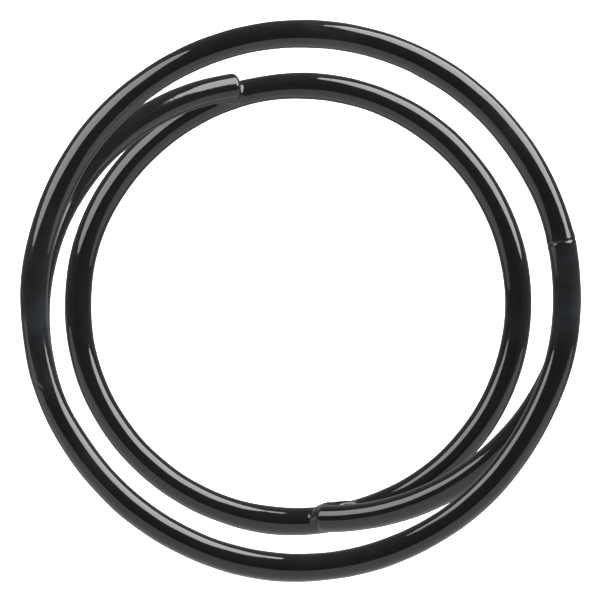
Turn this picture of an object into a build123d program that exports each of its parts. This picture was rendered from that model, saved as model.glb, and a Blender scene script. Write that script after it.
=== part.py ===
"""Coated double ring: two welded steel rod rings and two spiral arms under a thick plastic coat.

Z runs along the axis of the rings. The smaller ring rests at Z = 0 and the arms climb from its top
to the underside of the larger ring. The origin is on the axis of the larger ring. All lengths are in
millimetres and all angles in degrees.
"""
from build123d import *

import os
from math import cos, degrees, radians, sin

# ---- Driving dimensions -------------------------------------------------------------------------
ROD_DIAMETER = 6.0          # bare steel rod
COAT_THICKNESS = 1.0        # plastic coat on the rod
OUTER_RING_RADIUS = 77.0    # centreline of the larger ring
INNER_RING_RADIUS = 65.9    # centreline of the smaller ring
INNER_RING_SHIFT = (-0.7, -1.0)   # the smaller ring sits slightly off the axis of the larger one
RING_SPACING = 55.0         # between the middle planes of the two rings
LAP_GAP = 0.05              # between two rods where one lies over the other
TIP_ROUND = 1.8             # edge radius of the coat round a free rod end

# Butt welds: where each one is on its ring, and the size of its bead.
RIGHT_BUTT_ANGLE = 12.5
LEFT_BUTT_ANGLE = 197.0
INNER_BUTT_ANGLE = 118.0
BUTT_GAP = 1.2
BUTT_BEAD_LENGTH = 2.4
BUTT_BEAD_PROUD = 0.3

# Arms: polar place of the inner end, how far the arm points outwards there, and its bends.
LEFT_ARM = {"angle": 107.05, "radius": 66.92, "pitch": 8.38, "bends": ((67.4, 48.3), (68.37, 49.7))}
RIGHT_ARM = {"angle": 275.75, "radius": 65.87, "pitch": 6.25,
             "bends": ((73.6, 65.25), (34.7, 13.75), (71.8, 22.2))}
ARMS = {"left": LEFT_ARM, "right": RIGHT_ARM}
ARM_ENDS = {"inner": False, "outer": True}    # whether it is the arm's outer end

POINT_SPACING = 6.0         # along an arm's centreline

# Lap welds and the coat webs round them lie half way between the two rods.
LAP_BEAD_RADIUS = 2.3
LAP_BEAD_LENGTH = 7.0
LAP_BEAD_OVERHANG = 1.0
WEB_RADIUS = 3.5
WEB_LENGTH = 11.0
WEB_OVERHANG = 3.6
WEB_END_ROUND = 2.2
LAP_POINTS = 4              # steps along the curve of a bead or a web

# ---- Derived dimensions -------------------------------------------------------------------------
ROD_RADIUS = ROD_DIAMETER / 2
TUBE_RADIUS = ROD_RADIUS + COAT_THICKNESS
LAYER_STEP = ROD_DIAMETER + LAP_GAP
INNER_RING_Z = TUBE_RADIUS
OUTER_RING_Z = INNER_RING_Z + RING_SPACING
ARM_FIRST_Z = INNER_RING_Z + LAYER_STEP
ARM_LAST_Z = OUTER_RING_Z - LAYER_STEP
INNER_RING_CENTRE = Vector(*INNER_RING_SHIFT, INNER_RING_Z)
OUTER_RING_CENTRE = Vector(0, 0, OUTER_RING_Z)


# ---- Round rod along arcs -----------------------------------------------------------------------
def polar(centre, radius, angle):
    """The point at a radius and angle about a centre, at the centre's height."""
    return centre + Vector(radius * cos(radians(angle)), radius * sin(radians(angle)), 0)


def ring_segment(centre, bend_radius, start, sweep_angle, rod_radius):
    """A length of round rod bent about a centre, from a start angle, counter-clockwise."""
    outward = Vector(cos(radians(start)), sin(radians(start)), 0)
    along = Vector(-sin(radians(start)), cos(radians(start)), 0)
    section = Plane(polar(centre, bend_radius, start), x_dir=outward, z_dir=along) * Circle(rod_radius)
    return revolve(section, axis=Axis(centre, (0, 0, 1)), revolution_arc=sweep_angle)


def arm_bends(arm):
    """The centre, radius, start angle and length of each bend of an arm, seen along Z."""
    place = polar(Vector(0, 0, 0), arm["radius"], arm["angle"])
    heading = arm["angle"] + 90 - arm["pitch"]
    bends = []
    for bend_radius, sweep_angle in arm["bends"]:
        start = heading - 90
        centre = polar(place, -bend_radius, start)
        bends.append((centre, bend_radius, start, radians(sweep_angle) * bend_radius))
        heading += sweep_angle
        place = polar(centre, bend_radius, start + sweep_angle)
    return bends


def arm_length(arm):
    """The length of an arm seen along Z."""
    return sum(length for *_, length in arm_bends(arm))


def arm_point(arm, distance):
    """The point on an arm's centreline at a distance from its inner end, seen along Z."""
    bends = arm_bends(arm)
    passed = 0
    for centre, bend_radius, start, length in bends[:-1]:
        if distance < passed + length:
            break
        passed += length
    else:
        centre, bend_radius, start, length = bends[-1]
    place = polar(centre, bend_radius, start + degrees((distance - passed) / bend_radius))
    share = distance / arm_length(arm)
    return place + Vector(0, 0, ARM_FIRST_Z + share * (ARM_LAST_Z - ARM_FIRST_Z))


def rod_along(points, rod_radius):
    """A round rod along a smooth curve through points."""
    route = Spline(*points)
    section = Plane(origin=route @ 0, z_dir=route % 0) * Circle(rod_radius)
    return sweep(section, path=route)


def arm_tube(arm, rod_radius, overhang):
    """The arm as one solid of round section, carried on past both ends by an overhang."""
    whole = arm_length(arm) + 2 * overhang
    count = round(whole / POINT_SPACING)
    points = [arm_point(arm, whole * k / count - overhang) for k in range(count + 1)]
    return rod_along(points, rod_radius)


def flat_end_edges(shape):
    """The round edges of a bent rod's two flat ends."""
    return [edge for face in shape.faces().filter_by(GeomType.PLANE) for edge in face.edges()]


def rounded_arm(arm):
    """The outside of the coat on an arm: the rod's shape plus the coat, with rounded ends."""
    tube = arm_tube(arm, TUBE_RADIUS, COAT_THICKNESS)
    return fillet(flat_end_edges(tube), TIP_ROUND)


def lap_bead(arm, outer_end, bead_radius, length, overhang):
    """A bead half way between an arm's end and the ring that it is lapped on."""
    ring_z = OUTER_RING_Z if outer_end else INNER_RING_Z
    first = arm_length(arm) - length if outer_end else -overhang
    points = []
    for k in range(LAP_POINTS + 1):
        place = arm_point(arm, first + (length + overhang) * k / LAP_POINTS)
        points.append(Vector(place.X, place.Y, (place.Z + ring_z) / 2))
    return rod_along(points, bead_radius)


def butt_bead(centre, ring_radius, angle):
    """The bead that fills the gap between two rod ends and stands a little proud of them."""
    span = degrees(BUTT_BEAD_LENGTH / ring_radius)
    return ring_segment(centre, ring_radius, angle - span / 2, span, ROD_RADIUS + BUTT_BEAD_PROUD)


def rod_between(centre, ring_radius, first_butt, last_butt):
    """A length of ring rod from one butt gap to the next."""
    half_gap = degrees(BUTT_GAP / ring_radius) / 2
    sweep_angle = last_butt - first_butt - 2 * half_gap
    return ring_segment(centre, ring_radius, first_butt + half_gap, sweep_angle, ROD_RADIUS)


def full_ring(centre, ring_radius, rod_radius):
    """A whole ring of round section."""
    return Pos(*centre) * Torus(ring_radius, rod_radius)


def cut(shape, *tools):
    """A shape less each of the tools, one after another."""
    for tool in tools:
        shape = shape - tool
    return shape


# ---- Steel --------------------------------------------------------------------------------------
def make_rods():
    """The bent rods: two lengths for the larger ring, one for the smaller, and the two arms."""
    return {
        "outer_ring_upper_rod": rod_between(
            OUTER_RING_CENTRE, OUTER_RING_RADIUS, RIGHT_BUTT_ANGLE, LEFT_BUTT_ANGLE),
        "outer_ring_lower_rod": rod_between(
            OUTER_RING_CENTRE, OUTER_RING_RADIUS, LEFT_BUTT_ANGLE, RIGHT_BUTT_ANGLE + 360),
        "inner_ring_rod": rod_between(
            INNER_RING_CENTRE, INNER_RING_RADIUS, INNER_BUTT_ANGLE, INNER_BUTT_ANGLE + 360),
        "left_arm_rod": arm_tube(LEFT_ARM, ROD_RADIUS, 0),
        "right_arm_rod": arm_tube(RIGHT_ARM, ROD_RADIUS, 0),
    }


def make_welds(rods):
    """The butt welds in the rings, and the lap weld at each end of each arm."""
    butts = {
        "outer_ring_right_butt_weld": butt_bead(OUTER_RING_CENTRE, OUTER_RING_RADIUS, RIGHT_BUTT_ANGLE),
        "outer_ring_left_butt_weld": butt_bead(OUTER_RING_CENTRE, OUTER_RING_RADIUS, LEFT_BUTT_ANGLE),
        "inner_ring_butt_weld": butt_bead(INNER_RING_CENTRE, INNER_RING_RADIUS, INNER_BUTT_ANGLE),
    }
    welds = {name: cut(bead, *rods.values()) for name, bead in butts.items()}
    for side, arm in ARMS.items():
        for place, outer_end in ARM_ENDS.items():
            bead = lap_bead(arm, outer_end, LAP_BEAD_RADIUS, LAP_BEAD_LENGTH, LAP_BEAD_OVERHANG)
            welds[f"{side}_arm_{place}_weld"] = cut(bead, *rods.values(), *butts.values())
    return welds


# ---- Coat ---------------------------------------------------------------------------------------
def make_coats(rods, welds):
    """The coat on each member. The arms' coats stop where they meet the coat of a ring."""
    steel = list(rods.values()) + list(welds.values())
    inner_ring = full_ring(INNER_RING_CENTRE, INNER_RING_RADIUS, TUBE_RADIUS)
    outer_ring = full_ring(OUTER_RING_CENTRE, OUTER_RING_RADIUS, TUBE_RADIUS)
    arms = {side: rounded_arm(arm) for side, arm in ARMS.items()}
    coats = {
        "outer_ring_coat": cut(outer_ring, *steel),
        "inner_ring_coat": cut(inner_ring, *steel),
    }
    for side, rounded in arms.items():
        coats[f"{side}_arm_coat"] = cut(rounded, inner_ring, outer_ring, *steel)
    for side, arm in ARMS.items():
        for place, outer_end in ARM_ENDS.items():
            bead = lap_bead(arm, outer_end, WEB_RADIUS, WEB_LENGTH, WEB_OVERHANG)
            bead = fillet(flat_end_edges(bead), WEB_END_ROUND)
            coats[f"{side}_{place}_web"] = cut(bead, arms[side], inner_ring, outer_ring, *steel)
    return coats


def main():
    """Make every piece and write one file for each."""
    rods = make_rods()
    welds = make_welds(rods)
    coats = make_coats(rods, welds)
    os.makedirs("parts", exist_ok=True)
    for name, shape in {**rods, **welds, **coats}.items():
        export_step(shape, f"parts/{name}.step")


main()
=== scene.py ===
# Looks of the coated double ring: one unbroken skin of black plastic over the rings and arms,
# the steel and welds under it, a white floor, studio panels and the camera.
# Lengths are in millimetres and angles in degrees until a mesh is made, which is in metres.
import math

import bmesh
import bpy
import numpy as np
from mathutils import Matrix, Vector


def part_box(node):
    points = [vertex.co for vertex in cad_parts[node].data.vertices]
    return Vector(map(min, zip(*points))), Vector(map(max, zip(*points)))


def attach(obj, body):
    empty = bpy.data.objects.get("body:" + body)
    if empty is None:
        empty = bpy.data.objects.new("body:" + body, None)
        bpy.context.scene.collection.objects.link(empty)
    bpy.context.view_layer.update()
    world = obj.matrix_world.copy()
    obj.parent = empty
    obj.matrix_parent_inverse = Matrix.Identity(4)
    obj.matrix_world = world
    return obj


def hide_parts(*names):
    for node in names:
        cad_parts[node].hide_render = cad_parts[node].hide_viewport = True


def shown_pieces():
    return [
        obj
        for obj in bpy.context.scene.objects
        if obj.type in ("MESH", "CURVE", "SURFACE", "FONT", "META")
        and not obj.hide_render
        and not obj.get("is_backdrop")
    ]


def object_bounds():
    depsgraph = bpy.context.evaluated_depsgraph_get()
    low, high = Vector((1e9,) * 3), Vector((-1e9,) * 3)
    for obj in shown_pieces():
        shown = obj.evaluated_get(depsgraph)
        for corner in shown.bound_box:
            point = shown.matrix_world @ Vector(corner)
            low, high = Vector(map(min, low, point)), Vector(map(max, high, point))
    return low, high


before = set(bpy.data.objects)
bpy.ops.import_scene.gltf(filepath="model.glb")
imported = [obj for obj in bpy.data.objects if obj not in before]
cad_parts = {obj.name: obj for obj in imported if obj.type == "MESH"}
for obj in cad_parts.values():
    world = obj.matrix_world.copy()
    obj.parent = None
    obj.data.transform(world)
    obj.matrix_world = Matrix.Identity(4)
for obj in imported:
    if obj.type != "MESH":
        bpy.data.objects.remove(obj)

MM = 0.001
CAD_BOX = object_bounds()

# ---- Shape of the skin --------------------------------------------------------------------------
COATS = ("outer_ring_coat", "inner_ring_coat", "left_arm_coat", "right_arm_coat")
WEBS = ("left_inner_web", "left_outer_web", "right_inner_web", "right_outer_web")

# Slow changes round each ring: (angle, half width, height) of each swell of the bend and of the girth.
OUTER_PATH = ((18, 13, 0.40), (52, 24, 0.26), (130, 30, -0.44), (160, 12, -0.28), (203, 8, 0.28),
              (232, 10, 0.12), (262, 20, 0.44), (282, 10, 0.12), (330, 16, -0.62), (352, 14, 0.12))
OUTER_GIRTH = ((7, 6, 0.10), (20, 5, -0.12), (37, 8, 0.08), (60, 14, 0.08), (116, 12, -0.08),
               (188, 8, -0.15), (204, 6, -0.22), (259, 11, 0.16), (350, 8, 0.06))
INNER_PATH = ((10, 34, 0.42), (190, 34, 0.42), (100, 34, -0.40), (280, 34, -0.40), (132, 24, -0.55),
              (350, 18, 0.10), (180, 10, -0.15), (262, 12, 0.15), (232, 34, 0.12), (315, 34, 0.14))
INNER_GIRTH = ((52, 16, 0.12), (98, 8, -0.20), (215, 12, 0.06), (262, 10, 0.22), (330, 12, 0.05))
THICKER = 0.08            # coat over the CAD model's on every member

# Arms: polar place of the inner end, how far the arm points outwards there, and its bends.
LEFT_ARM = {"angle": 107.05, "radius": 66.92, "pitch": 8.38, "bends": ((67.4, 48.3), (68.37, 49.7))}
RIGHT_ARM = {"angle": 275.75, "radius": 65.87, "pitch": 6.25,
             "bends": ((73.6, 65.25), (34.7, 13.75), (71.8, 22.2))}
LAYER_STEP = 6.05         # between the middles of two rods where one lies over the other
ARM_OVERHANG = 1.0        # coat past the rod's end
TIP_ROUND = 1.8
END_SPARE = 15            # degrees that the end bends are carried on by, to shape the tips
FAR_INSIDE = 50           # stands for a place well short of an arm's ends

# How softly the members run into each other: everywhere, and more so round some points.
LAP_FILLET = 0.9
SOFT_JOINTS = (((-20.1, 61.3, 8.0), 7.0, 2.6), ((-17.6, 66.6, 9.0), 3.0, 1.0), ((6.1, -63.4, 8.0), 5.0, 1.6))

# Runs of thick coat, as stretched balls: (centre, half lengths, turn about Z, fillet).
RUNS = (((10.7, -61.8, 7.2), (6.0, 1.3, 2.0), 8, 1.6), ((6.3, -63.5, 8.0), (3.4, 1.2, 2.0), 40, 1.6))

# Small pits left by bubbles: (centre, radius).
PITS = (((-18.6, 59.5, 11.6), 0.7), ((-17.8, 61.8, 11.4), 0.4),
        ((5.0, -63.6, 12.0), 0.7), ((4.9, -65.7, 11.2), 0.45), ((4.3, -66.7, 9.8), 0.45))
PIT_FILLET = 0.35

# Seam right round the outer ring, and the slanting crease: (angle, place across the tube) points.
SEAM_ANGLE = 12.5
CREASE = ((196.4, 88), (197.5, 40), (199.3, 17), (203.5, 20))
SEAM_DEPTH = 3.0          # how near the skin a point has to be to feel them
# A low ridge and the fine groove in it, across each mark: (height, half width).
SEAM_PROFILE = ((0.16, 1.9), (-0.17, 0.33))
CREASE_PROFILE = ((0.10, 1.3), (-0.16, 0.42))

# Slow waves of the whole coat: how many, their height, the shortest and the step from each to the next.
WAVES = 7
WAVE_HEIGHT = 0.035
WAVE_LENGTH = 11
WAVE_LENGTH_STEP = 5.5

# The mesh: its grid, how it is evened out, and how the points are brought onto the skin.
GRID_STEP = 0.8
GRID_MARGIN = 1.5
RELAX_ROUNDS = 6
RELAX_SHARE = 0.6
SLOPE_STEP = 0.03
LONGEST_STEP = 0.5
LEAST_SLOPE = 0.3
MEMBERS_RADIUS = 72.0     # the whole skin is within the reach of this radius
MEMBERS_REACH = 14.5
# Where the mesh is halved, once in each round: (centre, reach).
FINE_REGIONS = ((((-20, 62, 8), 11), ((8, -62, 8), 12), ((75.2, 16.7, 59), 5.5), ((-73.8, -23, 59), 7)),
                (((-19, 61.5, 9.5), 6.5), ((6.5, -63, 9), 6.0), ((75.2, 16.7, 61), 2.6)))


def size_of_ring(node):
    """Centre, bend radius and tube radius of a ring-shaped CAD node."""
    low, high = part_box(node)
    centre = np.array((low + high) / 2) / MM
    tube = (high.z - low.z) / 2 / MM
    return {"centre": centre, "radius": (high.x - low.x) / 2 / MM - tube, "tube": tube}


OUTER_RING = {**size_of_ring("outer_ring_coat"), "path": OUTER_PATH, "girth": OUTER_GIRTH}
INNER_RING = {**size_of_ring("inner_ring_coat"), "path": INNER_PATH, "girth": INNER_GIRTH}
TUBE_RADIUS = OUTER_RING["tube"]
ARM_FIRST_Z = INNER_RING["centre"][2] + LAYER_STEP
ARM_LAST_Z = OUTER_RING["centre"][2] - LAYER_STEP


def turn_from(angle, reference):
    """The smaller turn from a reference angle to each angle."""
    return (angle - reference + 180) % 360 - 180


def swells(angle, table):
    """The sum of smooth swells round a ring."""
    return sum(height * np.exp(-(turn_from(angle, middle) / width) ** 2) for middle, width, height in table)


def ring_distance(points, ring):
    """Distance from a ring's skin, negative inside, with the angle round it and across its tube."""
    x, y, z = (points - ring["centre"]).T
    angle = np.degrees(np.arctan2(y, x))
    outwards = np.hypot(x, y) - ring["radius"] - swells(angle, ring["path"])
    tube = ring["tube"] + THICKER + swells(angle, ring["girth"])
    return np.hypot(outwards, z) - tube, angle, np.degrees(np.arctan2(outwards, z))


def arm_bends(arm):
    """The centre, radius, middle angle and half sweep of each bend of an arm, from its inner end on."""
    first = math.radians(arm["angle"])
    place = arm["radius"] * np.array([math.cos(first), math.sin(first)])
    heading = arm["angle"] + 90 - arm["pitch"]
    found = []
    for radius, sweep in arm["bends"]:
        start = math.radians(heading - 90)
        centre = place - radius * np.array([math.cos(start), math.sin(start)])
        found.append((centre, radius, heading - 90 + sweep / 2, sweep / 2))
        heading += sweep
        end = math.radians(heading - 90)
        place = centre + radius * np.array([math.cos(end), math.sin(end)])
    return found


def arm_distance(points, arm):
    """Distance from an arm's skin: a round tube that climbs along its bends, with rounded blunt ends."""
    nearest = np.full(len(points), np.inf)
    past = np.full(len(points), -np.inf)
    found = arm_bends(arm)
    whole = sum(math.radians(2 * half) * radius for _, radius, _, half in found)
    climb = (ARM_LAST_Z - ARM_FIRST_Z) / whole
    steep = math.atan(climb)
    passed = 0
    for number, (centre, radius, middle, half) in enumerate(found):
        x, y = (points[:, :2] - centre).T
        turn = turn_from(np.degrees(np.arctan2(y, x)), middle)
        first = number == 0
        last = number == len(found) - 1
        least = -half - END_SPARE * first
        most = half + END_SPARE * last
        flat = np.clip(turn, least, most)
        level = ARM_FIRST_Z + climb * (passed + np.radians(flat + half) * radius)
        shift = np.degrees((points[:, 2] - level) * math.sin(steep) * math.cos(steep) / radius)
        kept = np.clip(turn + shift, least, most)
        distance = passed + np.radians(kept + half) * radius
        along = np.radians(kept + middle)
        rise = points[:, 2] - ARM_FIRST_Z - climb * distance
        away = np.sqrt((x - radius * np.cos(along)) ** 2 + (y - radius * np.sin(along)) ** 2 + rise ** 2)
        over = np.full(len(points), -np.inf)
        if first:
            over = np.maximum(over, -distance / math.cos(steep))
        if last:
            over = np.maximum(over, (distance - whole) / math.cos(steep))
        closer = away < nearest
        nearest = np.where(closer, away, nearest)
        past = np.where(closer, over, past)
        passed += math.radians(2 * half) * radius
    side = nearest - (TUBE_RADIUS + THICKER - TIP_ROUND)
    end = np.maximum(past, -FAR_INSIDE) - (ARM_OVERHANG - TIP_ROUND)
    beyond = np.hypot(np.maximum(side, 0), np.maximum(end, 0))
    return np.minimum(np.maximum(side, end), 0) + beyond - TIP_ROUND


def blend(first, second, width):
    """The union of two distances with a fillet of about that width."""
    share = np.clip(0.5 + 0.5 * (second - first) / width, 0, 1)
    return second * (1 - share) + first * share - width * share * (1 - share)


def ball_distance(points, centre, radii, turn):
    """Roughly the distance from a stretched ball turned about Z."""
    moved = points - np.array(centre)
    c, s = math.cos(math.radians(turn)), math.sin(math.radians(turn))
    local = np.stack([c * moved[:, 0] + s * moved[:, 1], c * moved[:, 1] - s * moved[:, 0], moved[:, 2]], 1)
    scaled = np.linalg.norm(local / np.array(radii), axis=1)
    steep = np.linalg.norm(local / np.array(radii) ** 2, axis=1)
    return scaled * (scaled - 1) / np.maximum(steep, 1e-6)


def profile(gap, bumps):
    """The height of a mark at a distance from its line."""
    return sum(height * np.exp(-(gap / width) ** 2) for height, width in bumps)


def seam_height(angle, across, away):
    """The raised seam with a fine groove in it, and the slanting crease, on the outer ring's skin."""
    along = np.radians(turn_from(angle, SEAM_ANGLE)) * OUTER_RING["radius"]
    height = profile(along, SEAM_PROFILE)
    x = np.radians(turn_from(angle, CREASE[0][0])) * OUTER_RING["radius"]
    y = np.radians(across) * TUBE_RADIUS
    route = [(math.radians(a - CREASE[0][0]) * OUTER_RING["radius"], math.radians(b) * TUBE_RADIUS)
             for a, b in CREASE]
    gap = np.full(len(x), np.inf)
    for (x0, y0), (x1, y1) in zip(route, route[1:]):
        reach = (x1 - x0) ** 2 + (y1 - y0) ** 2
        share = np.clip(((x - x0) * (x1 - x0) + (y - y0) * (y1 - y0)) / reach, 0, 1)
        gap = np.minimum(gap, np.hypot(x - x0 - share * (x1 - x0), y - y0 - share * (y1 - y0)))
    fade = np.clip(1 - x / (route[-1][0] * 1.1), 0, 1)
    height += fade * profile(gap, CREASE_PROFILE)
    return np.where(np.abs(away) < SEAM_DEPTH, height, 0)


def waviness(points):
    """Slow uneven swells of the coat, a sum of plane waves in spread-out directions."""
    total = np.zeros(len(points))
    for number in range(WAVES):
        turn = 2.4 * number
        rise = 0.9 * math.sin(1.7 * number)
        way = np.array([math.cos(turn), math.sin(turn), rise])
        length = WAVE_LENGTH + WAVE_LENGTH_STEP * number
        total += np.sin(points @ way * 2 * math.pi / length + 1.3 * number)
    return WAVE_HEIGHT / 2 * total


def skin_distance(points):
    """Distance from the whole skin, in millimetres, negative inside."""
    outer, angle, across = ring_distance(points, OUTER_RING)
    outer = outer - seam_height(angle, across, outer)
    width = np.full(len(points), LAP_FILLET)
    for centre, reach, extra in SOFT_JOINTS:
        width += extra * np.exp(-np.sum(((points - np.array(centre)) / reach) ** 2, axis=1))
    whole = ring_distance(points, INNER_RING)[0]
    for arm in (LEFT_ARM, RIGHT_ARM):
        whole = blend(whole, arm_distance(points, arm), width)
    whole = blend(whole, outer, width)
    for centre, radii, turn, fillet in RUNS:
        whole = blend(whole, ball_distance(points, centre, radii, turn), fillet)
    for centre, radius in PITS:
        pit = np.linalg.norm(points - np.array(centre), axis=1) - radius
        whole = -blend(-whole, pit, PIT_FILLET)
    return whole - waviness(points)


def slope(points):
    """The outward unit normal of the skin at each point, and how steeply the distance rises there."""
    rise = np.stack([skin_distance(points + SLOPE_STEP * axis) - skin_distance(points - SLOPE_STEP * axis)
                     for axis in np.eye(3)], 1) / (2 * SLOPE_STEP)
    length = np.linalg.norm(rise, axis=1, keepdims=True)
    return rise / length, length[:, 0]


def onto_skin(points):
    """The points moved onto the skin."""
    for _ in range(2):
        normal, steepness = slope(points)
        step = skin_distance(points) / np.maximum(steepness, LEAST_SLOPE)
        step = np.clip(step, -LONGEST_STEP, LONGEST_STEP)
        points = points - normal * step[:, None]
    return points


def first_mesh():
    """Corner points and four-sided faces of the skin, one point in each grid cell that it crosses."""
    low = np.array(CAD_BOX[0]) / MM - GRID_MARGIN
    high = np.array(CAD_BOX[1]) / MM + GRID_MARGIN
    axes = [low[k] + GRID_STEP * np.arange(math.ceil((high[k] - low[k]) / GRID_STEP) + 1) for k in range(3)]
    grid = np.stack(np.meshgrid(*axes, indexing="ij"), -1)
    shape = grid.shape[:3]
    near_rings = np.abs(np.hypot(grid[..., 0], grid[..., 1]) - MEMBERS_RADIUS) < MEMBERS_REACH
    inside = np.zeros(shape, bool)
    inside[near_rings] = skin_distance(grid[near_rings]) < 0
    cells = tuple(n - 1 for n in shape)
    corners = sum(inside[i:i + cells[0], j:j + cells[1], k:k + cells[2]].astype(int)
                  for i in (0, 1) for j in (0, 1) for k in (0, 1))
    crossed = (corners > 0) & (corners < 8)
    number = np.full(cells, -1)
    number[crossed] = np.arange(crossed.sum())
    points = np.argwhere(crossed) * GRID_STEP + low + GRID_STEP / 2
    faces = []
    for axis in range(3):
        a, b = (axis + 1) % 3, (axis + 2) % 3
        near = np.take(inside, range(shape[axis] - 1), axis)
        far = np.take(inside, range(1, shape[axis]), axis)
        places = np.argwhere(near != far)
        places = places[(places[:, a] > 0) & (places[:, b] > 0)
                        & (places[:, a] < cells[a]) & (places[:, b] < cells[b])]
        around = []
        for da, db in ((-1, -1), (0, -1), (0, 0), (-1, 0)):
            cell = places.copy()
            cell[:, a] += da
            cell[:, b] += db
            around.append(number[tuple(cell.T)])
        quads = np.stack(around, 1)
        outwards = near[tuple(places.T)]
        quads[~outwards] = quads[~outwards][:, ::-1]
        faces.append(quads)
    return onto_skin(points), np.concatenate(faces)


def relaxed(points, faces):
    """The points evened out along the skin."""
    for _ in range(RELAX_ROUNDS):
        total = np.zeros_like(points)
        count = np.zeros(len(points))
        for k in range(4):
            here, there = faces[:, k], faces[:, (k + 1) % 4]
            for start, end in ((here, there), (there, here)):
                np.add.at(total, start, points[end])
                np.add.at(count, start, 1)
        points = onto_skin(points + RELAX_SHARE * (total / count[:, None] - points))
    return points


def refine(mesh):
    """Halve the faces in the fine regions, round by round."""
    work = bmesh.new()
    work.from_mesh(mesh)
    for regions in FINE_REGIONS:
        edges = [edge for edge in work.edges
                 if any((edge.verts[0].co / MM - Vector(centre)).length < reach for centre, reach in regions)]
        bmesh.ops.subdivide_edges(work, edges=edges, cuts=1, use_grid_fill=True)
    work.to_mesh(mesh)
    work.free()


def make_skin():
    """The whole skin as one mesh."""
    points, faces = first_mesh()
    points = relaxed(points, faces)
    mesh = bpy.data.meshes.new("coat_skin")
    mesh.from_pydata((points * MM).tolist(), [], faces.tolist())
    refine(mesh)
    points = np.zeros(len(mesh.vertices) * 3)
    mesh.vertices.foreach_get("co", points)
    points = onto_skin(points.reshape(-1, 3) / MM)
    mesh.vertices.foreach_set("co", (points * MM).ravel())
    mesh.update()
    mesh.polygons.foreach_set("use_smooth", [True] * len(mesh.polygons))
    mesh.normals_split_custom_set_from_vertices(slope(points)[0].tolist())
    skin = bpy.data.objects.new("coat_skin", mesh)
    bpy.context.scene.collection.objects.link(skin)
    return skin


# ---- Materials ----------------------------------------------------------------------------------
# Dull patches on the coat, rougher and blue-grey; the blue-grey is painted sheen, a hazy reflection put into
# the colour: (centre, reach, strength).
FILM_AND_SHEEN_PATCHES = (((-76.0, -6.0, 63.0), 14.0, 0.5), ((-74.5, 16.0, 63.0), 13.0, 0.35),
           ((-73.0, -22.0, 63.0), 8.0, 0.35), ((76.5, -3.0, 63.0), 13.0, 0.45),
           ((75.5, 11.0, 63.0), 8.0, 0.35), ((59.0, 49.0, 63.0), 16.0, 0.3),
           ((9.0, 76.0, 63.0), 11.0, 0.3), ((-60.0, -48.0, 63.0), 12.0, 0.25),
           ((66.5, -8.0, 14.0), 9.0, 0.25))

# Pairs of colours that a surface varies between.
COAT_COLOURS = ((0.0035, 0.0035, 0.004), (0.007, 0.007, 0.0075))
# The blue-grey of the dull patches is painted sheen: a hazy reflection put into the coat's colour.
PAINTED_SHEEN_COLOUR = (0.026, 0.031, 0.036)
DUST_COLOUR = (0.07, 0.075, 0.08)
STEEL_COLOURS = ((0.36, 0.36, 0.37), (0.58, 0.58, 0.59))
WELD_COLOURS = ((0.26, 0.20, 0.15), (0.34, 0.37, 0.44))


def new_material(name):
    """A node material, its nodes, a function that links two sockets, and its main shader."""
    material = bpy.data.materials.new(name)
    material.use_nodes = True
    tree = material.node_tree
    return material, tree.nodes, tree.links.new, tree.nodes["Principled BSDF"]


def noise(nodes, link, place, scale, detail=3.0, roughness=0.5):
    """A noise texture at that many cycles a metre."""
    node = nodes.new("ShaderNodeTexNoise")
    node.inputs["Scale"].default_value = scale
    node.inputs["Detail"].default_value = detail
    node.inputs["Roughness"].default_value = roughness
    link(place, node.inputs["Vector"])
    return node.outputs["Fac"]


def ranged(nodes, link, value, low, high, to_low, to_high):
    """A value taken from one range to another, and held at the ends."""
    node = nodes.new("ShaderNodeMapRange")
    for name, number in (("From Min", low), ("From Max", high), ("To Min", to_low), ("To Max", to_high)):
        node.inputs[name].default_value = number
    link(value, node.inputs["Value"])
    return node.outputs["Result"]


def combined(nodes, link, operation, first, second):
    """Two values put together by a maths node. The second may be a number."""
    node = nodes.new("ShaderNodeMath")
    node.operation = operation
    link(first, node.inputs[0])
    if isinstance(second, (int, float)):
        node.inputs[1].default_value = second
    else:
        link(second, node.inputs[1])
    return node.outputs["Value"]


def mixed_colour(nodes, link, share, first, second):
    """A colour between two, or between a socket's colour and another."""
    node = nodes.new("ShaderNodeMix")
    node.data_type = "RGBA"
    link(share, node.inputs["Factor"])
    for socket, colour in ((node.inputs[6], first), (node.inputs[7], second)):
        if isinstance(colour, tuple):
            socket.default_value = (*colour, 1)
        else:
            link(colour, socket)
    return node.outputs[2]


def bump(nodes, link, height, distance, strength, normal=None):
    """A bump of that height in metres."""
    node = nodes.new("ShaderNodeBump")
    node.inputs["Distance"].default_value = distance
    node.inputs["Strength"].default_value = strength
    link(height, node.inputs["Height"])
    if normal is not None:
        link(normal, node.inputs["Normal"])
    return node.outputs["Normal"]


def patches_of(nodes, link, place, patches):
    """Soft round patches: strongest at each centre, gone at its reach, and added together."""
    total = None
    for centre, reach, strength in patches:
        gap = nodes.new("ShaderNodeVectorMath")
        gap.operation = "DISTANCE"
        link(place, gap.inputs[0])
        gap.inputs[1].default_value = [value * MM for value in centre]
        patch = ranged(nodes, link, gap.outputs["Value"], 0.0, reach * MM, strength, 0.0)
        total = patch if total is None else combined(nodes, link, "ADD", total, patch)
    return total


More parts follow.
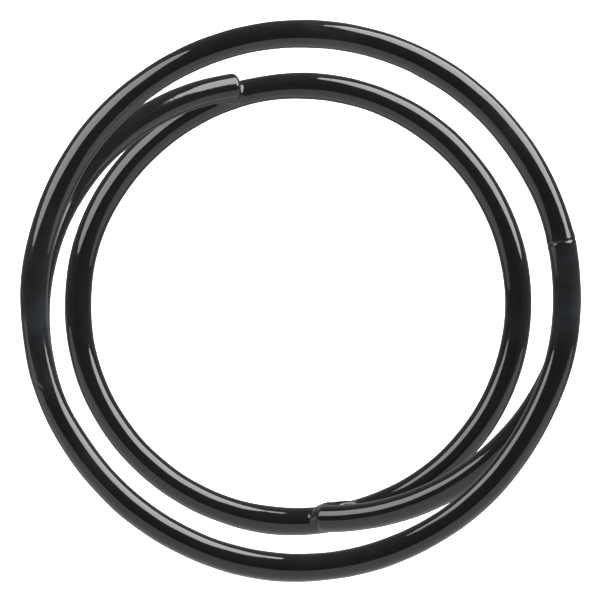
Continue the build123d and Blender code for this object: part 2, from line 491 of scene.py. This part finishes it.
def make_coat_material():
    """Glossy black plastisol: faint ripple, a few dust specks, and dull rougher patches whose blue-grey
    colour is painted sheen.
    """
    material, nodes, link, shader = new_material("coat_black_plastic")
    place = nodes.new("ShaderNodeTexCoord").outputs["Object"]
    shader.inputs["IOR"].default_value = 1.5
    grain = noise(nodes, link, place, 900, 4.0)
    clouds = noise(nodes, link, place, 150, 4.0, 0.6)
    wide_clouds = noise(nodes, link, place, 40, 2.0)
    specks = ranged(nodes, link, noise(nodes, link, place, 1300, 1.0), 0.77, 0.81, 0.0, 1.0)
    dust = combined(nodes, link, "MULTIPLY", specks, ranged(nodes, link, wide_clouds, 0.5, 0.7, 0.0, 1.0))
    film_and_sheen_mask = patches_of(nodes, link, place, FILM_AND_SHEEN_PATCHES)
    dull_film_and_sheen = combined(nodes, link, "MULTIPLY", film_and_sheen_mask, ranged(nodes, link, clouds, 0.35, 0.65, 0.35, 1.0))
    base = mixed_colour(nodes, link, clouds, *COAT_COLOURS)
    # The dull patches are painted blue-grey, which is painted sheen on top of their real roughness.
    with_painted_sheen = mixed_colour(nodes, link, dull_film_and_sheen, base, PAINTED_SHEEN_COLOUR)
    link(mixed_colour(nodes, link, dust, with_painted_sheen, DUST_COLOUR), shader.inputs["Base Color"])
    dull = ranged(nodes, link, clouds, 0.35, 0.75, 0.04, 0.09)
    hazy = combined(nodes, link, "ADD", dull, combined(nodes, link, "MULTIPLY", dull_film_and_sheen, 0.12))
    link(combined(nodes, link, "ADD", hazy, combined(nodes, link, "MULTIPLY", dust, 0.3)),
         shader.inputs["Roughness"])
    ripple = noise(nodes, link, place, 220, 1.0)
    soft = bump(nodes, link, ripple, 0.0004, 0.08)
    link(bump(nodes, link, grain, 0.00005, 0.12, soft), shader.inputs["Normal"])
    return material


def make_steel_material():
    """Drawn steel rod: fine uneven grain and a few darker patches."""
    material, nodes, link, shader = new_material("steel_drawn")
    place = nodes.new("ShaderNodeTexCoord").outputs["Object"]
    shader.inputs["Metallic"].default_value = 1.0
    lines = noise(nodes, link, place, 1400, 5.0, 0.7)
    patches = noise(nodes, link, place, 80, 3.0)
    link(mixed_colour(nodes, link, patches, *STEEL_COLOURS), shader.inputs["Base Color"])
    link(ranged(nodes, link, lines, 0.3, 0.7, 0.28, 0.45), shader.inputs["Roughness"])
    link(bump(nodes, link, lines, 0.0001, 0.3), shader.inputs["Normal"])
    return material


def make_weld_material():
    """Weld metal: ripples, with a brown and blue heat tint."""
    material, nodes, link, shader = new_material("weld_metal")
    place = nodes.new("ShaderNodeTexCoord").outputs["Object"]
    shader.inputs["Metallic"].default_value = 1.0
    tint = noise(nodes, link, place, 350, 4.0)
    rough = noise(nodes, link, place, 2200, 3.0)
    link(mixed_colour(nodes, link, tint, *WELD_COLOURS), shader.inputs["Base Color"])
    link(ranged(nodes, link, rough, 0.3, 0.7, 0.35, 0.6), shader.inputs["Roughness"])
    link(bump(nodes, link, rough, 0.0003, 0.5), shader.inputs["Normal"])
    return material


def give(piece, material):
    """The piece has only that material."""
    piece.data.materials.clear()
    piece.data.materials.append(material)


# ---- Studio -------------------------------------------------------------------------------------
# Name, shape, (azimuth, distance from the axis, height) of the middle, width, height, (roll, tilt, yaw)
# and brightness.
PANELS = (("panel_right", "ELLIPSE", (32.3, 744.8, 406.1), 714.3, 1329.8, (59.4, -10.4, 39.0), 8.6),
          ("panel_left", "ELLIPSE", (143.5, 286.0, 137.0), 263.0, 294.0, (29.8, 54.3, -25.1), 5.4),
          ("panel_near", "RECTANGLE", (267.0, 215.0, 138.0), 3000.0, 577.0, (0.0, 0.0, 0.0), 1.0))
CAMERA_DISTANCE = 1320.0      # from the outer ring's middle plane
VIEW_WIDTH = 173.41           # what the camera takes in at that plane
SENSOR_WIDTH = 36
FLOOR_HALF_WIDTH = 3.0        # metres
FLOOR_GAP = 0.2               # under the CAD model
FLOOR_GLOW = 0.95


def make_camera():
    """The camera straight above the outer ring's axis, looking down at the ring's flat side."""
    data = bpy.data.cameras.new("camera")
    data.sensor_width = SENSOR_WIDTH
    data.lens = SENSOR_WIDTH * CAMERA_DISTANCE / VIEW_WIDTH
    data.clip_start = 0.01
    data.clip_end = 20
    camera = bpy.data.objects.new("camera", data)
    camera.location = (0, 0, (OUTER_RING["centre"][2] + CAMERA_DISTANCE) * MM)
    bpy.context.scene.collection.objects.link(camera)
    bpy.context.scene.camera = camera


def make_floor():
    """A plain white floor under the rings."""
    material, _, _, shader = new_material("floor_white")
    shader.inputs["Base Color"].default_value = (0.9, 0.9, 0.9, 1)
    shader.inputs["Roughness"].default_value = 0.9
    shader.inputs["Emission Color"].default_value = (1, 1, 1, 1)
    shader.inputs["Emission Strength"].default_value = FLOOR_GLOW
    mesh = bpy.data.meshes.new("floor")
    half = FLOOR_HALF_WIDTH
    corners = [(-half, -half, 0), (half, -half, 0), (half, half, 0), (-half, half, 0)]
    mesh.from_pydata(corners, [], [(0, 1, 2, 3)])
    floor = bpy.data.objects.new("floor", mesh)
    floor.location.z = CAD_BOX[0].z - FLOOR_GAP * MM
    bpy.context.scene.collection.objects.link(floor)
    give(floor, material)
    floor.visible_glossy = False
    floor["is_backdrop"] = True


def panel(name, shape, middle, width, height, turns, brightness, blockers):
    """A soft panel at a place round the rings, with that brightness.

    Unturned it faces their axis. It is rolled about its own axis, tilted to face down or up, and then
    turned about the upright."""
    data = bpy.data.lights.new(name, "AREA")
    data.shape = shape
    data.size = width * MM
    data.size_y = height * MM
    area = data.size * data.size_y * (math.pi / 4 if shape == "ELLIPSE" else 1)
    data.energy = brightness * math.pi * area
    lamp = bpy.data.objects.new(name, data)
    azimuth, distance, rise = middle
    roll, tilt, yaw = (math.radians(turn) for turn in turns)
    spot = math.radians(azimuth)
    aim = spot + yaw
    facing = Vector((-math.cos(aim) * math.cos(tilt), -math.sin(aim) * math.cos(tilt), -math.sin(tilt)))
    flat = Vector((-math.sin(aim), math.cos(aim), 0))
    upright = flat.cross(facing)
    x = math.cos(roll) * flat + math.sin(roll) * upright
    y = math.cos(roll) * upright - math.sin(roll) * flat
    place = Vector((distance * math.cos(spot), distance * math.sin(spot), rise)) * MM
    lamp.matrix_world = Matrix.Translation(place) @ Matrix((x, y, -facing)).transposed().to_4x4()
    lamp.visible_camera = False
    lamp.light_linking.blocker_collection = blockers
    bpy.context.scene.collection.objects.link(lamp)


def make_world():
    """Dim surroundings, a little brighter from the horizon down."""
    world = bpy.data.worlds.new("studio")
    bpy.context.scene.world = world
    world.use_nodes = True
    nodes, link = world.node_tree.nodes, world.node_tree.links.new
    background = nodes["Background"]
    direction = nodes.new("ShaderNodeTexCoord").outputs["Generated"]
    split = nodes.new("ShaderNodeSeparateXYZ")
    link(direction, split.inputs["Vector"])
    sky = ranged(nodes, link, split.outputs["Z"], 0.0, 1.0, 0.25, 0.11)
    deep = ranged(nodes, link, split.outputs["Z"], -0.65, -0.45, 0.14, 0.0)
    link(combined(nodes, link, "ADD", sky, deep), background.inputs["Strength"])
    background.inputs["Color"].default_value = (1, 1, 1, 1)


def make_lights():
    """The panels. Nothing stands in the way of their light."""
    blockers = bpy.data.collections.new("not_in_the_way")
    for number, piece in enumerate([*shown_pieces(), bpy.data.objects["floor"]]):
        blockers.objects.link(piece)
        blockers.collection_objects[number].light_linking.link_state = "EXCLUDE"
    for values in PANELS:
        panel(*values, blockers)


def main():
    """Make the skin, dress the steel and the welds, and set up the studio."""
    skin = make_skin()
    give(skin, make_coat_material())
    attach(skin, "root")
    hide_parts(*COATS, *WEBS)
    steel = make_steel_material()
    weld = make_weld_material()
    for name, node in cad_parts.items():
        if name not in COATS + WEBS:
            give(node, weld if name.endswith("weld") else steel)
    make_floor()
    make_world()
    make_lights()
    make_camera()
    bpy.context.scene.view_settings.view_transform = "Standard"


main()
